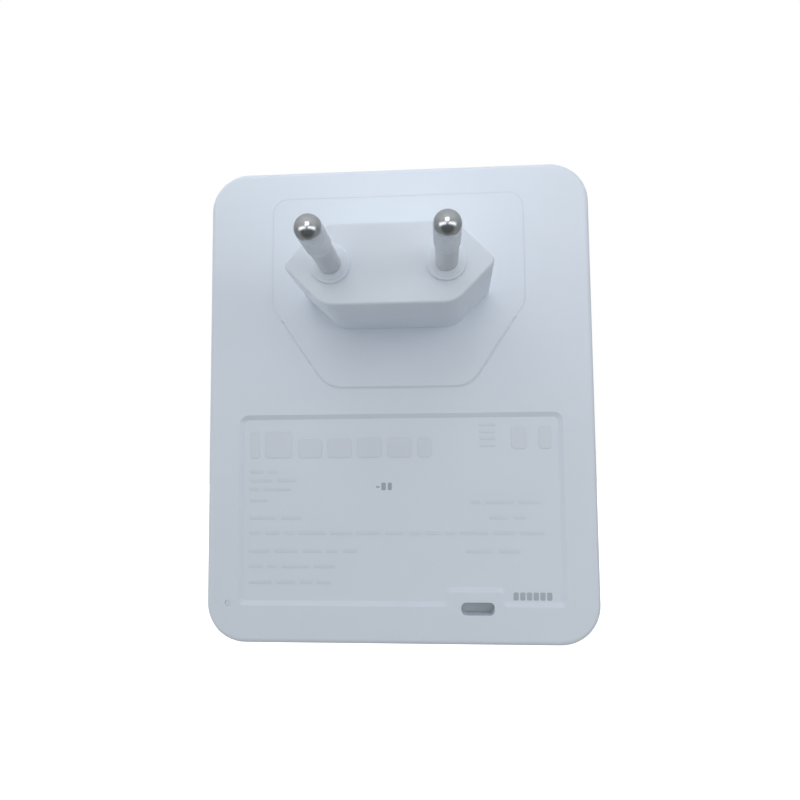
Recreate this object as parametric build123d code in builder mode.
"""Powerline adapter with a fixed two-pin plug, as an assembly of separate pieces.

Units are millimetres. The plug's pins point along -Y, the status lights face +Y, and +Z is up
as the adapter hangs in a wall socket. The origin is the centre of the plug's engagement face.
Every piece is written to parts/NAME.step.
"""

import os

from build123d import *

os.makedirs("parts", exist_ok=True)

# ---------------------------------------------------------------- driving dimensions
# Casing, seen from the plug side
body_width = 74.6
body_top = 25.2  # height of the casing's top above the plug's axis
body_bottom = -66.9
body_corner = 7.5
body_depth = 31.0
wall = 2.0
front_edge_round = 4.0
running_gap = 0.1  # between pieces that slide or drop into each other

# Plug, to the flat two-pin 2.5 A pattern
plug_reach = 21.0  # from the engagement face to the casing's back
plug_half_width = 17.65
plug_half_height = 6.85
plug_flat_half = 10.85  # half the width of the plug's flat top and bottom
plug_base_spread = 0.65  # how much wider each side is at the plug's base
plug_corner = 4.5
plug_side_corner = 1.2
plug_face_round = 0.45
pin_spacing = 19.0
pin_length = 19.0
pin_radius = 2.0
sleeve_radius = 1.84
sleeve_length = 10.0
core_radius = 1.5
collar_radius = 3.3
collar_height = 0.5

# Rear cover
cover_thickness = 2.2
cover_edge_round = 1.0
rim_gap = 0.15  # the seam round the sides, between the cover and the housing's rim
skirt_thickness = 1.2
skirt_depth = 3.8

# Circuit boards
board_thickness = 1.6
board_clearance = 0.4
main_board_gap = 22.4  # from the casing's back to the main board's rear side
power_board_gap = 8.0  # from the casing's back to the power board

# Moving parts
pair_travel = 0.5
reset_travel = 0.3
touch_gap = 0.05  # between a button and what it pushes or rests against

# ---------------------------------------------------------------- worked-out places
back_y = plug_reach
front_y = back_y + body_depth
inside_y = back_y + cover_thickness  # the cover's inner face
rim_y = inside_y + rim_gap
ceiling_y = front_y - wall  # the housing's inner front face
body_height = body_top - body_bottom
body_mid_z = (body_top + body_bottom) / 2
inner_half = body_width / 2 - wall
inner_bottom = body_bottom + wall
pin_x = pin_spacing / 2
main_y = back_y + main_board_gap
main_front_y = main_y + board_thickness
power_y = back_y + power_board_gap
power_front_y = power_y + board_thickness
sides = {"left": -1, "right": 1}


# ---------------------------------------------------------------- helpers
def at_y(y):
    """A sketch plane across the adapter: local x is X, local y is Z, and it faces -Y."""
    return Plane.XZ.offset(-y)


def at_x(x):
    """A sketch plane along the adapter's side: local x is Y, local y is Z, and it faces +X."""
    return Plane.YZ.offset(x)


def save(builder, name):
    """Labels a finished piece and writes it to its own file."""
    builder.part.label = name
    export_step(builder.part, f"parts/{name}.step")


def box_between(x, y, z, mode=Mode.ADD):
    """A box between two X, two Y and two Z values. Call it inside a part."""
    middle = tuple((low + high) / 2 for low, high in (x, y, z))
    spans = tuple(abs(high - low) for low, high in (x, y, z))
    with Locations(middle):
        Box(*spans, mode=mode)


def box_on(y, place, size, rise=1, mode=Mode.ADD):
    """A box that rises from a board's face at y. Size is its width, its rise and its height."""
    with Locations((place[0], y + rise * size[1] / 2, place[1])):
        Box(*size, mode=mode)


def rod_along_y(place, y, radius, mode=Mode.ADD):
    """A round rod between two Y values, at an X and a Z."""
    with Locations(Location((place[0], (y[0] + y[1]) / 2, place[1]), (90, 0, 0))):
        Cylinder(radius, abs(y[1] - y[0]), mode=mode)


def rod_along_x(place, x, radius, mode=Mode.ADD):
    """A round rod between two X values, at a Y and a Z."""
    with Locations(Location(((x[0] + x[1]) / 2, place[0], place[1]), (0, 90, 0))):
        Cylinder(radius, abs(x[1] - x[0]), mode=mode)


def body_outline(inset, mode=Mode.ADD):
    """The casing's outline, drawn inwards by an inset. Call it inside a sketch."""
    with Locations((0, body_mid_z)):
        RectangleRounded(
            body_width - 2 * inset, body_height - 2 * inset, body_corner - inset, mode=mode
        )


def rounded_outline(corners, grow=0.0):
    """A closed outline from corners of (x, z, radius), grown outwards. Call it in a sketch."""
    points = [corner[:2] for corner in corners]
    radii = [corner[2] for corner in corners]
    with BuildLine() as border:
        FilletPolyline(*points, radius=radii, close=True)
    make_face(border.edges())
    if grow:
        offset(amount=grow, mode=Mode.REPLACE)


# ---------------------------------------------------------------- outlines of the plug insert
shield_half = 24.7  # the insert's visible plate is a shield with a narrow flat foot
shield_foot_half = 13.87
shield_foot_z = -18.4
shield_shoulder_z = -2.2
shield_top_z = 19.6
shield_foot_round = 5.4
shield_shoulder_round = 4.0
shield_top_round = 3.0
shield_gap = 0.02
seam_width = 0.35  # the sloping edge on each side of the seam round the insert
seam_depth = 0.15
seam_slope = 66.8  # how far those edges lean, in degrees
seam_end_z = -5.0  # the edges slope only below this height


def shield_outline(grow=0.0):
    """The insert's plate, grown outwards all round. Call it inside a sketch."""
    rounded_outline(
        [
            (-shield_foot_half, shield_foot_z, shield_foot_round),
            (shield_foot_half, shield_foot_z, shield_foot_round),
            (shield_half, shield_shoulder_z, shield_shoulder_round),
            (shield_half, shield_top_z, shield_top_round),
            (-shield_half, shield_top_z, shield_top_round),
            (-shield_half, shield_shoulder_z, shield_shoulder_round),
        ],
        grow,
    )


def trim_outline(z, towards):
    """Cuts a sketch away above a height (towards 1) or below it (towards -1)."""
    with Locations((0, z + towards * body_width / 2)):
        Rectangle(body_width, body_width, mode=Mode.SUBTRACT)


def plug_outline(spread=0.0, inset=0.0):
    """The plug's six-sided section, spread at its sides. Call it inside a sketch."""
    side = plug_half_width + spread
    rounded_outline(
        [
            (-plug_flat_half, -plug_half_height, plug_corner),
            (plug_flat_half, -plug_half_height, plug_corner),
            (side, 0, plug_side_corner),
            (plug_flat_half, plug_half_height, plug_corner),
            (-plug_flat_half, plug_half_height, plug_corner),
            (-side, 0, plug_side_corner),
        ],
        -inset,
    )


# ---------------------------------------------------------------- screws
screw_radius = 1.15
screw_head_radius = 2.1
screw_head_height = 1.5
screw_length = 6.0
screw_cross_width = 0.55
screw_cross_span = 2.4
screw_cross_depth = 0.8
post_radius = 2.6
main_screw_points = [(x, z) for x in (-31.0, 31.0) for z in (18.0, -50.0)]
power_screw_points = [(x, z) for x in (-29.8, 29.8) for z in (16.0, -35.5)]


def add_screws(points, seat_y, towards):
    """Pan-head screws seated at one Y. Their shanks point along +Y (1) or -Y (-1)."""
    head_y = seat_y - towards * screw_head_height
    for point in points:
        rod_along_y(point, (head_y, seat_y), screw_head_radius)
        rod_along_y(point, (seat_y, seat_y + towards * screw_length), screw_radius)
        for size in (screw_cross_width, screw_cross_span):
            across = screw_cross_width + screw_cross_span - size
            box_on(
                head_y,
                point,
                (size, screw_cross_depth, across),
                rise=towards,
                mode=Mode.SUBTRACT,
            )


with BuildPart() as main_board_screws:
    add_screws(main_screw_points, main_y, 1)
save(main_board_screws, "main_board_screws")

with BuildPart() as power_board_screws:
    add_screws(power_screw_points, power_front_y, -1)
save(power_board_screws, "power_board_screws")


# ---------------------------------------------------------------- places shared by pieces
# Window, latch and pinhole near the casing's lower edge
window_place = (14.6, -60.2)
window_size = (6.2, 2.4)
window_corner = 0.9
window_frame_wall = 1.2
window_frame_depth = 0.7  # how far the frame round the window reaches inwards
pinhole_place = (-33.15, -59.4)
pinhole_radius = 0.55
latch_half = 4.6
latch_tip_y = inside_y + 0.9
latch_foot_y = (27.4, 31.0)
latch_z = (-62.9, -58.2)

# Ethernet jack, on the main board's rear side, with its mouth in the casing's lower end
jack_half = 8.0
jack_rise = 13.4
jack_mouth_z = body_bottom + 0.3
jack_length = 21.0
jack_opening_gap = 0.15

# Status lights
light_x = (-10.0, 0.0, 10.0)
light_z = 8.0
light_hole_radius = 1.5

# Pair button, in the casing's -X side
button_y = main_y - 4.6
button_z = -40.0
button_size = (6.0, 12.0)
button_round = 2.95
button_proud = 0.6
button_gap = 0.1

# Snap bumps on the cover's skirt, and their pockets in the housing
snap_y = (25.4, 26.6)
snap_length = 6.0
snap_height = 0.6
snap_gap = 0.1
snap_side_z = (2.0, -52.0)
snap_end_x = (-22.0, 22.0)


def add_snaps(gap, mode=Mode.ADD):
    """The cover's snap bumps, or with a gap and Mode.SUBTRACT the housing's pockets."""
    root = wall + running_gap
    reach = snap_height + gap
    band_y = (snap_y[0] - gap, snap_y[1] + gap)
    half = snap_length / 2 + gap
    for side in sides.values():
        edge_x = side * (body_width / 2 - root)
        for z in snap_side_z:
            box_between((edge_x, edge_x + side * reach), band_y, (z - half, z + half), mode)
    for edge_z, side in ((body_top - root, 1), (body_bottom + root, -1)):
        for x in snap_end_x:
            box_between((x - half, x + half), band_y, (edge_z, edge_z + side * reach), mode)


# ---------------------------------------------------------------- front housing
screw_hole_depth = 4.6
vent_width = 1.6
vent_pitch = 4.4
vent_y = (28.0, 44.0)
top_vent_count = 11
bottom_vent_x = (-28.0, -24.0, -20.0, 22.0, 26.0, 30.0)
rib_thickness = 1.2
rib_height = 2.0

with BuildPart() as front_housing:
    with BuildSketch(at_y(rim_y)):
        body_outline(0)
    extrude(amount=-(front_y - rim_y))
    fillet(front_housing.edges().group_by(Axis.Y)[-1], radius=front_edge_round)
    offset(amount=-wall, openings=front_housing.faces().sort_by(Axis.Y)[0])
    add_snaps(snap_gap, Mode.SUBTRACT)
    # Posts that carry the main board
    for post in main_screw_points:
        rod_along_y(post, (main_front_y, ceiling_y), post_radius)
        rod_along_y(
            post, (main_front_y, main_front_y + screw_hole_depth), screw_radius, Mode.SUBTRACT
        )
    # Stiffening ribs behind the front face
    for rib_z in (-8.0, -30.0):
        box_between(
            (-inner_half, inner_half),
            (ceiling_y - rib_height / 2, ceiling_y),
            (rib_z - rib_thickness / 2, rib_z + rib_thickness / 2),
        )
    # Latch finger behind the cover's window
    latch_x = (window_place[0] - latch_half, window_place[0] + latch_half)
    box_between(latch_x, latch_foot_y, (inner_bottom, latch_z[1]))
    box_between(latch_x, (latch_tip_y, latch_foot_y[1]), latch_z)
    # Openings: jack, lights, pair button and vents
    jack_reach = jack_half + jack_opening_gap
    box_between(
        (-jack_reach, jack_reach),
        (main_y - jack_rise - jack_opening_gap, main_y + jack_opening_gap),
        (body_bottom, inner_bottom),
        Mode.SUBTRACT,
    )
    for x in light_x:
        rod_along_y((x, light_z), (ceiling_y, front_y), light_hole_radius, Mode.SUBTRACT)
    with BuildSketch(at_x(-body_width / 2)):
        with Locations((button_y, button_z)):
            RectangleRounded(
                button_size[0] + 2 * button_gap,
                button_size[1] + 2 * button_gap,
                button_round + button_gap,
            )
    extrude(amount=wall, mode=Mode.SUBTRACT)
    middle = (top_vent_count - 1) / 2
    top_vent_x = [(number - middle) * vent_pitch for number in range(top_vent_count)]
    for x in top_vent_x:
        box_between(
            (x - vent_width / 2, x + vent_width / 2),
            vent_y,
            (body_top - wall, body_top),
            Mode.SUBTRACT,
        )
    for x in bottom_vent_x:
        box_between(
            (x - vent_width / 2, x + vent_width / 2),
            vent_y,
            (body_bottom, inner_bottom),
            Mode.SUBTRACT,
        )
save(front_housing, "front_housing")


# ---------------------------------------------------------------- rear cover
label_x = (-30.7, 30.8)
label_z = (-59.4, -23.9)
label_depth = 0.55
label_slope = 58.0  # the field's walls lean outwards by this many degrees
label_grow = 0.44  # half the width of the sloping wall
label_top_round = 1.35
label_bottom_round = 0.8
notch_x = (9.0, 19.5)
notch_top_z = -56.7
notch_round = 1.0
post_hole_depth = 5.0


def label_outline():
    """The recessed label field, stepped round the window. Call it inside a sketch."""
    rounded_outline(
        [
            (label_x[0], label_z[1], label_top_round),
            (label_x[1], label_z[1], label_top_round),
            (label_x[1], label_z[0], label_bottom_round),
            (notch_x[1], label_z[0], label_bottom_round),
            (notch_x[1], notch_top_z, notch_round),
            (notch_x[0], notch_top_z, notch_round),
            (notch_x[0], label_z[0], label_bottom_round),
            (label_x[0], label_z[0], label_bottom_round),
        ],
        label_grow,
    )


with BuildPart() as rear_cover:
    with BuildSketch(at_y(back_y)):
        body_outline(0)
    extrude(amount=-cover_thickness)
    fillet(rear_cover.edges().group_by(Axis.Y)[0], radius=cover_edge_round)
    # Skirt inside the housing
    with BuildSketch(at_y(inside_y)):
        body_outline(wall + running_gap)
        body_outline(wall + running_gap + skirt_thickness, Mode.SUBTRACT)
    extrude(amount=-skirt_depth)
    add_snaps(0)
    # Posts that carry the power board
    for post in power_screw_points:
        rod_along_y(post, (inside_y, power_y), post_radius)
        rod_along_y(post, (power_y - post_hole_depth, power_y), screw_radius, Mode.SUBTRACT)
    # Opening for the plug insert
    with BuildSketch(at_y(back_y)):
        shield_outline()
    extrude(amount=-cover_thickness, mode=Mode.SUBTRACT)
    with BuildSketch(at_y(back_y)):
        shield_outline(seam_width)
        trim_outline(seam_end_z, 1)
    extrude(amount=-seam_depth, taper=seam_slope, mode=Mode.SUBTRACT)
    # Label field, window and pinhole
    with BuildSketch(at_y(back_y)):
        label_outline()
    extrude(amount=-label_depth, taper=label_slope, mode=Mode.SUBTRACT)
    box_on(
        inside_y,
        window_place,
        (
            window_size[0] + 2 * window_frame_wall,
            window_frame_depth,
            window_size[1] + 2 * window_frame_wall,
        ),
    )
    with BuildSketch(at_y(back_y)):
        with Locations(window_place):
            RectangleRounded(*window_size, window_corner)
    extrude(amount=-(cover_thickness + window_frame_depth), mode=Mode.SUBTRACT)
    rod_along_y(pinhole_place, (back_y, inside_y), pinhole_radius, Mode.SUBTRACT)
save(rear_cover, "rear_cover")


# ---------------------------------------------------------------- plug insert
flange_spread = 1.5
flange_thickness = 1.5
plug_end_wall = 4.0
plug_side_wall = 2.2
pin_post_radius = 3.3
pin_post_end_y = 20.0
sleeve_seat = 1.5
collar_round = 0.2
collar_step_radius = 2.7
collar_step_height = 0.15

with BuildPart() as plug_insert:
    # Plate in the cover, and the flange behind it
    with BuildSketch(at_y(back_y + seam_depth)):
        shield_outline(-shield_gap)
    extrude(amount=seam_depth, taper=seam_slope)
    with BuildSketch(at_y(back_y + seam_depth)):
        shield_outline(-shield_gap)
        trim_outline(seam_end_z, -1)
    extrude(amount=seam_depth)
    with BuildSketch(at_y(back_y + seam_depth)):
        shield_outline(-shield_gap)
    extrude(amount=-(cover_thickness - seam_depth))
    with BuildSketch(at_y(inside_y)):
        shield_outline(flange_spread)
    extrude(amount=-flange_thickness)
    # Plug body
    with BuildSketch(at_y(0)):
        plug_outline()
    with BuildSketch(at_y(back_y)):
        plug_outline(plug_base_spread)
    loft()
    fillet(plug_insert.edges().group_by(Axis.Y)[0], radius=plug_face_round)
    # Hollow behind the end wall, with a post round each pin
    with BuildSketch(at_y(plug_end_wall)):
        plug_outline(0, plug_side_wall)
    extrude(amount=-(inside_y + flange_thickness - plug_end_wall), mode=Mode.SUBTRACT)
    for side in sides.values():
        rod_along_y((side * pin_x, 0), (plug_end_wall, pin_post_end_y), pin_post_radius)
    # Collars, stepped down towards their rims
    for side in sides.values():
        rod_along_y((side * pin_x, 0), (-collar_height, 0), collar_radius)
    fillet(plug_insert.edges().group_by(Axis.Y)[0], radius=collar_round)
    for side in sides.values():
        rod_along_y(
            (side * pin_x, 0),
            (-collar_height - collar_step_height, -collar_height),
            collar_step_radius,
        )
    # Holes for the pins and their sleeves
    for side in sides.values():
        place = (side * pin_x, 0)
        front_of_hole = -collar_height - collar_step_height
        rod_along_y(place, (front_of_hole, sleeve_seat), sleeve_radius, Mode.SUBTRACT)
        rod_along_y(place, (sleeve_seat, pin_post_end_y), core_radius, Mode.SUBTRACT)
save(plug_insert, "plug_insert")


# ---------------------------------------------------------------- pins, sleeves and contacts
pin_head_radius = 2.4
pin_head_height = 1.5
pin_inner_end_y = 26.0
tip_y = -pin_length
dome_y = tip_y + pin_radius
bare_end_y = -sleeve_length

for side_name, side in sides.items():
    pin_plane = Plane((side * pin_x, 0, 0), x_dir=(1, 0, 0), z_dir=(0, 0, 1))
    with BuildPart() as plug_pin:
        with BuildSketch(pin_plane):
            with BuildLine():
                CenterArc((0, dome_y), pin_radius, 270, 90)
                Polyline(
                    (pin_radius, dome_y),
                    (pin_radius, bare_end_y),
                    (core_radius, bare_end_y),
                    (core_radius, pin_post_end_y),
                    (pin_head_radius, pin_post_end_y),
                    (pin_head_radius, pin_post_end_y + pin_head_height),
                    (core_radius, pin_post_end_y + pin_head_height),
                    (core_radius, pin_inner_end_y),
                    (0, pin_inner_end_y),
                    (0, tip_y),
                )
            make_face()
        revolve(axis=Axis((side * pin_x, 0, 0), (0, 1, 0)))
    save(plug_pin, f"plug_pin_{side_name}")

    with BuildPart() as pin_sleeve:
        rod_along_y((side * pin_x, 0), (bare_end_y, sleeve_seat), sleeve_radius)
        rod_along_y((side * pin_x, 0), (bare_end_y, sleeve_seat), core_radius, Mode.SUBTRACT)
    save(pin_sleeve, f"pin_sleeve_{side_name}")

spring_thickness = 0.3
spring_half_width = 2.2
spring_foot_z = (-7.0, -3.0)
spring_leaf_end_z = 2.5

with BuildPart() as pin_contacts:
    for side in sides.values():
        strip_x = (side * pin_x - spring_half_width, side * pin_x + spring_half_width)
        riser_z = (spring_foot_z[1] - spring_thickness, spring_foot_z[1])
        box_between(strip_x, (power_y - spring_thickness, power_y), spring_foot_z)
        box_between(strip_x, (pin_inner_end_y, power_y), riser_z)
        box_between(
            strip_x,
            (pin_inner_end_y, pin_inner_end_y + spring_thickness),
            (riser_z[0], spring_leaf_end_z),
        )
save(pin_contacts, "pin_contacts")


# ---------------------------------------------------------------- power board and its parts
power_half_width = 33.5
power_board_z = (-39.5, 20.5)
power_corner = 2.0
board_hole_radius = 1.35

with BuildPart() as power_board:
    with BuildSketch(at_y(power_y)):
        with Locations((0, sum(power_board_z) / 2)):
            RectangleRounded(
                2 * power_half_width, power_board_z[1] - power_board_z[0], power_corner
            )
        with Locations(power_screw_points):
            Circle(board_hole_radius, mode=Mode.SUBTRACT)
    extrude(amount=-board_thickness)
save(power_board, "power_board")

fuse_place = (-28.0, 4.0)
fuse_radius = 1.8
fuse_length = 10.0
fuse_cap_radius = 2.0
fuse_cap_length = 1.5
varistor_place = (-20.0, 12.0)
varistor_radius = 4.4
varistor_thickness = 3.6
x2_place = (-6.0, 13.0)
x2_size = (13.0, 11.0, 6.0)
choke_place = (-22.5, -8.0)
choke_radius = 6.5
choke_bore = 3.2
choke_lift = 1.4
choke_height = 5.0
choke_wire = 1.3
bridge_place = (-24.0, -24.0)
bridge_size = (6.4, 3.2, 8.6)
bulk_place = (-9.0, -14.0)
bulk_radius = 5.0
bulk_length = 17.0
output_place = (27.0, -25.0)
output_radius = 4.0
output_length = 11.0
can_round = 0.6
optocoupler_place = (2.0, -32.0)
optocoupler_size = (6.6, 3.6, 4.6)

with BuildPart() as fuse:
    with BuildSketch(Plane.XY.offset(fuse_place[1] - fuse_length / 2)):
        with Locations((fuse_place[0], power_front_y + fuse_cap_radius)):
            Circle(fuse_radius)
    extrude(amount=fuse_length)
    for end_z in (-fuse_length / 2, fuse_length / 2 - fuse_cap_length):
        with BuildSketch(Plane.XY.offset(fuse_place[1] + end_z)):
            with Locations((fuse_place[0], power_front_y + fuse_cap_radius)):
                Circle(fuse_cap_radius)
        extrude(amount=fuse_cap_length)
save(fuse, "fuse")

with BuildPart() as varistor:
    varistor_x = varistor_place[0] - varistor_thickness / 2
    rod_along_x(
        (power_front_y + varistor_radius, varistor_place[1]),
        (varistor_x, varistor_x + varistor_thickness),
        varistor_radius,
    )
    fillet(varistor.edges().filter_by(GeomType.CIRCLE), radius=can_round)
save(varistor, "varistor")

with BuildPart() as x2_capacitor:
    box_on(power_front_y, x2_place, x2_size)
    fillet(x2_capacitor.edges().group_by(Axis.Y)[-1], radius=can_round)
save(x2_capacitor, "x2_capacitor")

choke_y = power_front_y + choke_lift
with BuildPart() as choke_core:
    rod_along_y(choke_place, (choke_y, choke_y + choke_height), choke_radius)
    rod_along_y(choke_place, (choke_y, choke_y + choke_height), choke_bore, Mode.SUBTRACT)
save(choke_core, "choke_core")

with BuildPart() as choke_windings:
    wound_y = (choke_y - choke_wire, choke_y + choke_height + choke_wire)
    rod_along_y(choke_place, wound_y, choke_radius + choke_wire)
    rod_along_y(choke_place, wound_y, choke_bore - choke_wire, Mode.SUBTRACT)
    with BuildSketch(at_y(choke_y - running_gap)):
        with Locations(choke_place):
            Circle(choke_radius + running_gap)
            Circle(choke_bore - running_gap, mode=Mode.SUBTRACT)
    extrude(amount=-choke_height - 2 * running_gap, mode=Mode.SUBTRACT)
    # The middle strip stays bare, so the two windings are apart
    box_between(
        (choke_place[0] - choke_bore / 2, choke_place[0] + choke_bore / 2),
        wound_y,
        (choke_place[1] - 2 * choke_radius, choke_place[1] + 2 * choke_radius),
        Mode.SUBTRACT,
    )
save(choke_windings, "choke_windings")

with BuildPart() as bridge_rectifier:
    box_on(power_front_y, bridge_place, bridge_size)
    chamfer(bridge_rectifier.edges().group_by(Axis.Y)[-1], length=can_round)
save(bridge_rectifier, "bridge_rectifier")

with BuildPart() as bulk_capacitor:
    with BuildSketch(Plane.XY.offset(bulk_place[1] - bulk_length / 2)):
        with Locations((bulk_place[0], power_front_y + bulk_radius)):
            Circle(bulk_radius)
    extrude(amount=bulk_length)
    fillet(bulk_capacitor.edges().filter_by(GeomType.CIRCLE), radius=can_round)
save(bulk_capacitor, "bulk_capacitor")

with BuildPart() as output_capacitor:
    rod_along_y(output_place, (power_front_y, power_front_y + output_length), output_radius)
    fillet(output_capacitor.edges().filter_by(GeomType.CIRCLE), radius=can_round)
save(output_capacitor, "output_capacitor")

with BuildPart() as optocoupler:
    box_on(power_front_y, optocoupler_place, optocoupler_size)
save(optocoupler, "optocoupler")

# Transformer: an E-shaped core pair round a wound bobbin whose axis runs along Z
core_place = (11.0, -12.0)
core_half_width = 8.0
core_half_height = 8.0
core_half_depth = 2.4
core_leg_half = 2.1
core_yoke = 2.4
core_window_edge = 5.4
transformer_y = power_front_y + 5.8
tube_wall = 0.8
bobbin_half = 5.2
bobbin_flange = 0.8
bobbin_flange_rise = 5.8
winding_half = 4.8
winding_rise = 5.2
core_x, core_z = core_place


def around_core(half_x, half_y, half_z, mode=Mode.ADD, centre_z=core_z):
    """A box centred on the transformer's axis. Call it inside a part."""
    with Locations((core_x, transformer_y, centre_z)):
        Box(2 * half_x, 2 * half_y, 2 * half_z, mode=mode)


window_half_height = core_half_height - core_yoke
tube_half_x = core_leg_half + tube_wall
tube_half_y = core_half_depth + tube_wall

with BuildPart() as transformer_core:
    around_core(core_half_width, core_half_depth, core_half_height)
    around_core(core_window_edge, core_half_depth, window_half_height, Mode.SUBTRACT)
    around_core(core_leg_half, core_half_depth, window_half_height)
save(transformer_core, "transformer_core")

with BuildPart() as transformer_bobbin:
    around_core(tube_half_x, tube_half_y, window_half_height)
    for end in (-1, 1):
        flange_z = core_z + end * (window_half_height - bobbin_flange / 2)
        around_core(
            bobbin_half, bobbin_flange_rise, bobbin_flange / 2, Mode.ADD, centre_z=flange_z
        )
    around_core(core_leg_half, core_half_depth, window_half_height, Mode.SUBTRACT)
save(transformer_bobbin, "transformer_bobbin")

with BuildPart() as transformer_winding:
    wound_half_height = window_half_height - bobbin_flange
    around_core(winding_half, winding_rise, wound_half_height)
    fillet(transformer_winding.edges().filter_by(Axis.Z), radius=tube_half_x / 2)
    around_core(tube_half_x, tube_half_y, wound_half_height, Mode.SUBTRACT)
save(transformer_winding, "transformer_winding")


# ---------------------------------------------------------------- main board and its parts
with BuildPart() as main_board:
    with BuildSketch(at_y(main_y)):
        body_outline(wall + board_clearance)
        with Locations(main_screw_points):
            Circle(board_hole_radius, mode=Mode.SUBTRACT)
    extrude(amount=-board_thickness)
save(main_board, "main_board")

# Header that carries the supply from the power board to the main board
header_place = (27.0, -2.0)
header_pin_count = 5
header_pitch = 2.54
header_width = 2.5
header_base_height = 2.5
header_pin_half = 0.32
header_pin_entry = 4.0
socket_height = 8.5
socket_hole_radius = 0.6
header_length = header_pin_count * header_pitch
header_pin_z = [
    header_place[1] + (number - (header_pin_count - 1) / 2) * header_pitch
    for number in range(header_pin_count)
]

with BuildPart() as board_header:
    box_on(power_front_y, header_place, (header_width, header_base_height, header_length))
    for z in header_pin_z:
        box_between(
            (header_place[0] - header_pin_half, header_place[0] + header_pin_half),
            (power_front_y, main_y - socket_height + header_pin_entry),
            (z - header_pin_half, z + header_pin_half),
        )
save(board_header, "board_header")

with BuildPart() as header_socket:
    box_on(main_y, header_place, (header_width, socket_height, header_length), rise=-1)
    for z in header_pin_z:
        rod_along_y(
            (header_place[0], z),
            (main_y - socket_height, main_y - socket_height + header_pin_entry + wall),
            socket_hole_radius,
            Mode.SUBTRACT,
        )
save(header_socket, "header_socket")

chip_place = (2.0, -19.0)
chip_size = (14.0, 1.2, 14.0)
fin_base = 1.0
fin_rise = 2.3
fin_count = 6
fin_thickness = 0.8
memory_place = (18.0, -22.0)
memory_size = (5.2, 1.7, 4.0)
crystal_place = (-14.0, -20.0)
crystal_length = 10.8
crystal_width = 4.5
crystal_rise = 3.4
ethernet_coil_place = (2.0, -48.0)
ethernet_coil_size = (12.6, 3.6, 9.2)
coupler_place = (-18.5, -53.0)
coupler_size = (9.0, 8.0, 9.0)
led_size = (1.6, 1.0, 0.8)

with BuildPart() as processor_chip:
    box_on(main_front_y, chip_place, chip_size)
save(processor_chip, "processor_chip")

fin_base_y = main_front_y + chip_size[1]
with BuildPart() as heat_sink:
    box_on(fin_base_y, chip_place, (chip_size[0], fin_base, chip_size[2]))
    fin_step = (chip_size[0] - fin_thickness) / (fin_count - 1)
    for number in range(fin_count):
        fin_x = chip_place[0] - chip_size[0] / 2 + fin_thickness / 2 + number * fin_step
        box_on(
            fin_base_y + fin_base,
            (fin_x, chip_place[1]),
            (fin_thickness, fin_rise - fin_base, chip_size[2]),
        )
save(heat_sink, "heat_sink")

with BuildPart() as memory_chip:
    box_on(main_front_y, memory_place, memory_size)
save(memory_chip, "memory_chip")

with BuildPart() as crystal:
    with BuildSketch(at_y(main_front_y)):
        with Locations(crystal_place):
            SlotOverall(crystal_length, crystal_width)
    extrude(amount=-crystal_rise)
    fillet(crystal.edges().group_by(Axis.Y)[-1], radius=can_round)
save(crystal, "crystal")

with BuildPart() as ethernet_transformer:
    box_on(main_front_y, ethernet_coil_place, ethernet_coil_size)
    chamfer(ethernet_transformer.edges().group_by(Axis.Y)[-1], length=can_round / 2)
save(ethernet_transformer, "ethernet_transformer")

with BuildPart() as line_coupler:
    box_on(main_y, coupler_place, coupler_size, rise=-1)
    fillet(line_coupler.edges().group_by(Axis.Y)[0], radius=can_round)
save(line_coupler, "line_coupler")

with BuildPart() as status_leds:
    for x in light_x:
        box_on(main_front_y, (x, light_z), led_size)
save(status_leds, "status_leds")

# Light pipe: one moulding with a post for each light and a web behind the casing's front
light_post_radius = light_hole_radius - running_gap
light_web_thickness = 1.2
light_web_half = 2.0
light_start_y = main_front_y + led_size[1] + 0.2

with BuildPart() as light_pipe:
    for x in light_x:
        rod_along_y((x, light_z), (light_start_y, front_y), light_post_radius)
    box_between(
        (light_x[0] - light_web_half, light_x[-1] + light_web_half),
        (ceiling_y - light_web_thickness, ceiling_y),
        (light_z - light_web_half, light_z + light_web_half),
    )
save(light_pipe, "light_pipe")


# ---------------------------------------------------------------- Ethernet jack
shield_sheet = 0.3
jack_back_z = jack_mouth_z + jack_length
jack_y = (main_y - jack_rise, main_y)
jack_recess = 0.3
cavity_half = 5.95
cavity_y = (main_y - 11.0, main_y - 2.9)
cavity_back_z = jack_mouth_z + 14.5
latch_way_half = 3.1
latch_way_y = main_y - 1.1
latch_way_back_z = jack_mouth_z + 8.5
comb_half = 4.3
comb_y = main_y - 12.4
comb_start_z = jack_mouth_z + 2.2
contact_count = 8
contact_pitch = 1.016
contact_width = 0.4
contact_thickness = 0.4
contact_tip_z = jack_mouth_z + 2.6
contact_bend_z = jack_mouth_z + 12.0
contact_rise = 3.0

with BuildPart() as ethernet_jack_shield:
    box_between((-jack_half, jack_half), jack_y, (jack_mouth_z, jack_back_z))
    offset(amount=-shield_sheet, openings=ethernet_jack_shield.faces().sort_by(Axis.Z)[0])
save(ethernet_jack_shield, "ethernet_jack_shield")

with BuildPart() as ethernet_jack_body:
    box_between(
        (-jack_half + shield_sheet, jack_half - shield_sheet),
        (jack_y[0] + shield_sheet, jack_y[1] - shield_sheet),
        (jack_mouth_z + jack_recess, jack_back_z - shield_sheet),
    )
    box_between(
        (-cavity_half, cavity_half), cavity_y, (jack_mouth_z, cavity_back_z), Mode.SUBTRACT
    )
    box_between(
        (-latch_way_half, latch_way_half),
        (cavity_y[0], latch_way_y),
        (jack_mouth_z, latch_way_back_z),
        Mode.SUBTRACT,
    )
    box_between(
        (-comb_half, comb_half),
        (comb_y, cavity_y[1]),
        (comb_start_z, cavity_back_z),
        Mode.SUBTRACT,
    )
save(ethernet_jack_body, "ethernet_jack_body")

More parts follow.
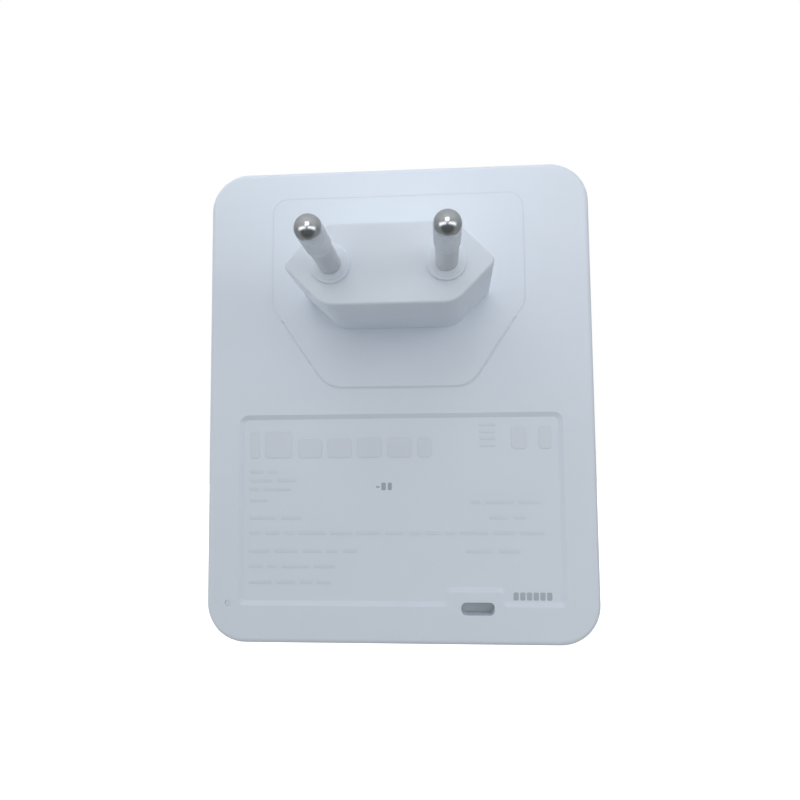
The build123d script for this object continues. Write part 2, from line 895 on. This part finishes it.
with BuildPart() as ethernet_jack_contacts:
    low = comb_y + touch_gap
    high = low + contact_rise
    for number in range(contact_count):
        contact_x = (number - (contact_count - 1) / 2) * contact_pitch - contact_width / 2
        with BuildSketch(at_x(contact_x)):
            with BuildLine():
                Polyline(
                    (low, contact_tip_z),
                    (low + contact_thickness, contact_tip_z),
                    (high + contact_thickness, contact_bend_z),
                    (high + contact_thickness, cavity_back_z),
                    (high, cavity_back_z),
                    (high, contact_bend_z),
                    close=True,
                )
            make_face()
        extrude(amount=contact_width)
save(ethernet_jack_contacts, "ethernet_jack_contacts")


# ---------------------------------------------------------------- pair button and its switch
side_x = -body_width / 2
flange_thickness_x = 1.0
flange_margin = 0.7
stem_radius = 1.2
pair_tip_x = -34.25
pair_plunger_radius = 1.5
pair_body_x = (-33.2, -29.7)
pair_body_half = 3.0
pair_body_rise = 7.5
pair_bore_depth = 1.7
pair_plunger_end_x = -32.2
button_edge_round = 0.4

with BuildPart() as pair_button:
    with BuildSketch(at_x(side_x - button_proud)):
        with Locations((button_y, button_z)):
            RectangleRounded(*button_size, button_round)
    extrude(amount=button_proud + wall + touch_gap)
    fillet(pair_button.edges().group_by(Axis.X)[0], radius=button_edge_round)
    flange_x = side_x + wall + touch_gap
    with BuildSketch(at_x(flange_x)):
        with Locations((button_y, button_z)):
            RectangleRounded(
                button_size[0] + 2 * flange_margin,
                button_size[1] + 2 * flange_margin,
                button_round + flange_margin,
            )
    extrude(amount=flange_thickness_x)
    rod_along_x((button_y, button_z), (flange_x, pair_tip_x - touch_gap), stem_radius)
save(pair_button, "pair_button")

with BuildPart() as pair_switch_body:
    box_between(
        pair_body_x,
        (main_y - pair_body_rise, main_y),
        (button_z - pair_body_half, button_z + pair_body_half),
    )
    rod_along_x(
        (button_y, button_z),
        (pair_body_x[0], pair_body_x[0] + pair_bore_depth),
        pair_plunger_radius + running_gap,
        Mode.SUBTRACT,
    )
save(pair_switch_body, "pair_switch_body")

with BuildPart() as pair_switch_plunger:
    rod_along_x((button_y, button_z), (pair_tip_x, pair_plunger_end_x), pair_plunger_radius)
save(pair_switch_plunger, "pair_switch_plunger")


# ---------------------------------------------------------------- reset switch
reset_body_width = 3.4
reset_body_rise = 3.5
reset_plunger_radius = 0.9
reset_bore_depth = 1.6
reset_tip_radius = pinhole_radius - touch_gap
reset_tip_y = back_y + 0.15
reset_shoulder_y = inside_y + 4.0
reset_plunger_end_y = main_y - reset_body_rise + 1.0
reset_mouth_y = main_y - reset_body_rise

with BuildPart() as reset_switch_body:
    box_on(
        main_y, pinhole_place, (reset_body_width, reset_body_rise, reset_body_width), rise=-1
    )
    rod_along_y(
        pinhole_place,
        (reset_mouth_y, reset_mouth_y + reset_bore_depth),
        reset_plunger_radius + running_gap,
        Mode.SUBTRACT,
    )
save(reset_switch_body, "reset_switch_body")

with BuildPart() as reset_switch_plunger:
    rod_along_y(pinhole_place, (reset_tip_y, reset_shoulder_y), reset_tip_radius)
    rod_along_y(pinhole_place, (reset_shoulder_y, reset_plunger_end_y), reset_plunger_radius)
save(reset_switch_plunger, "reset_switch_plunger")
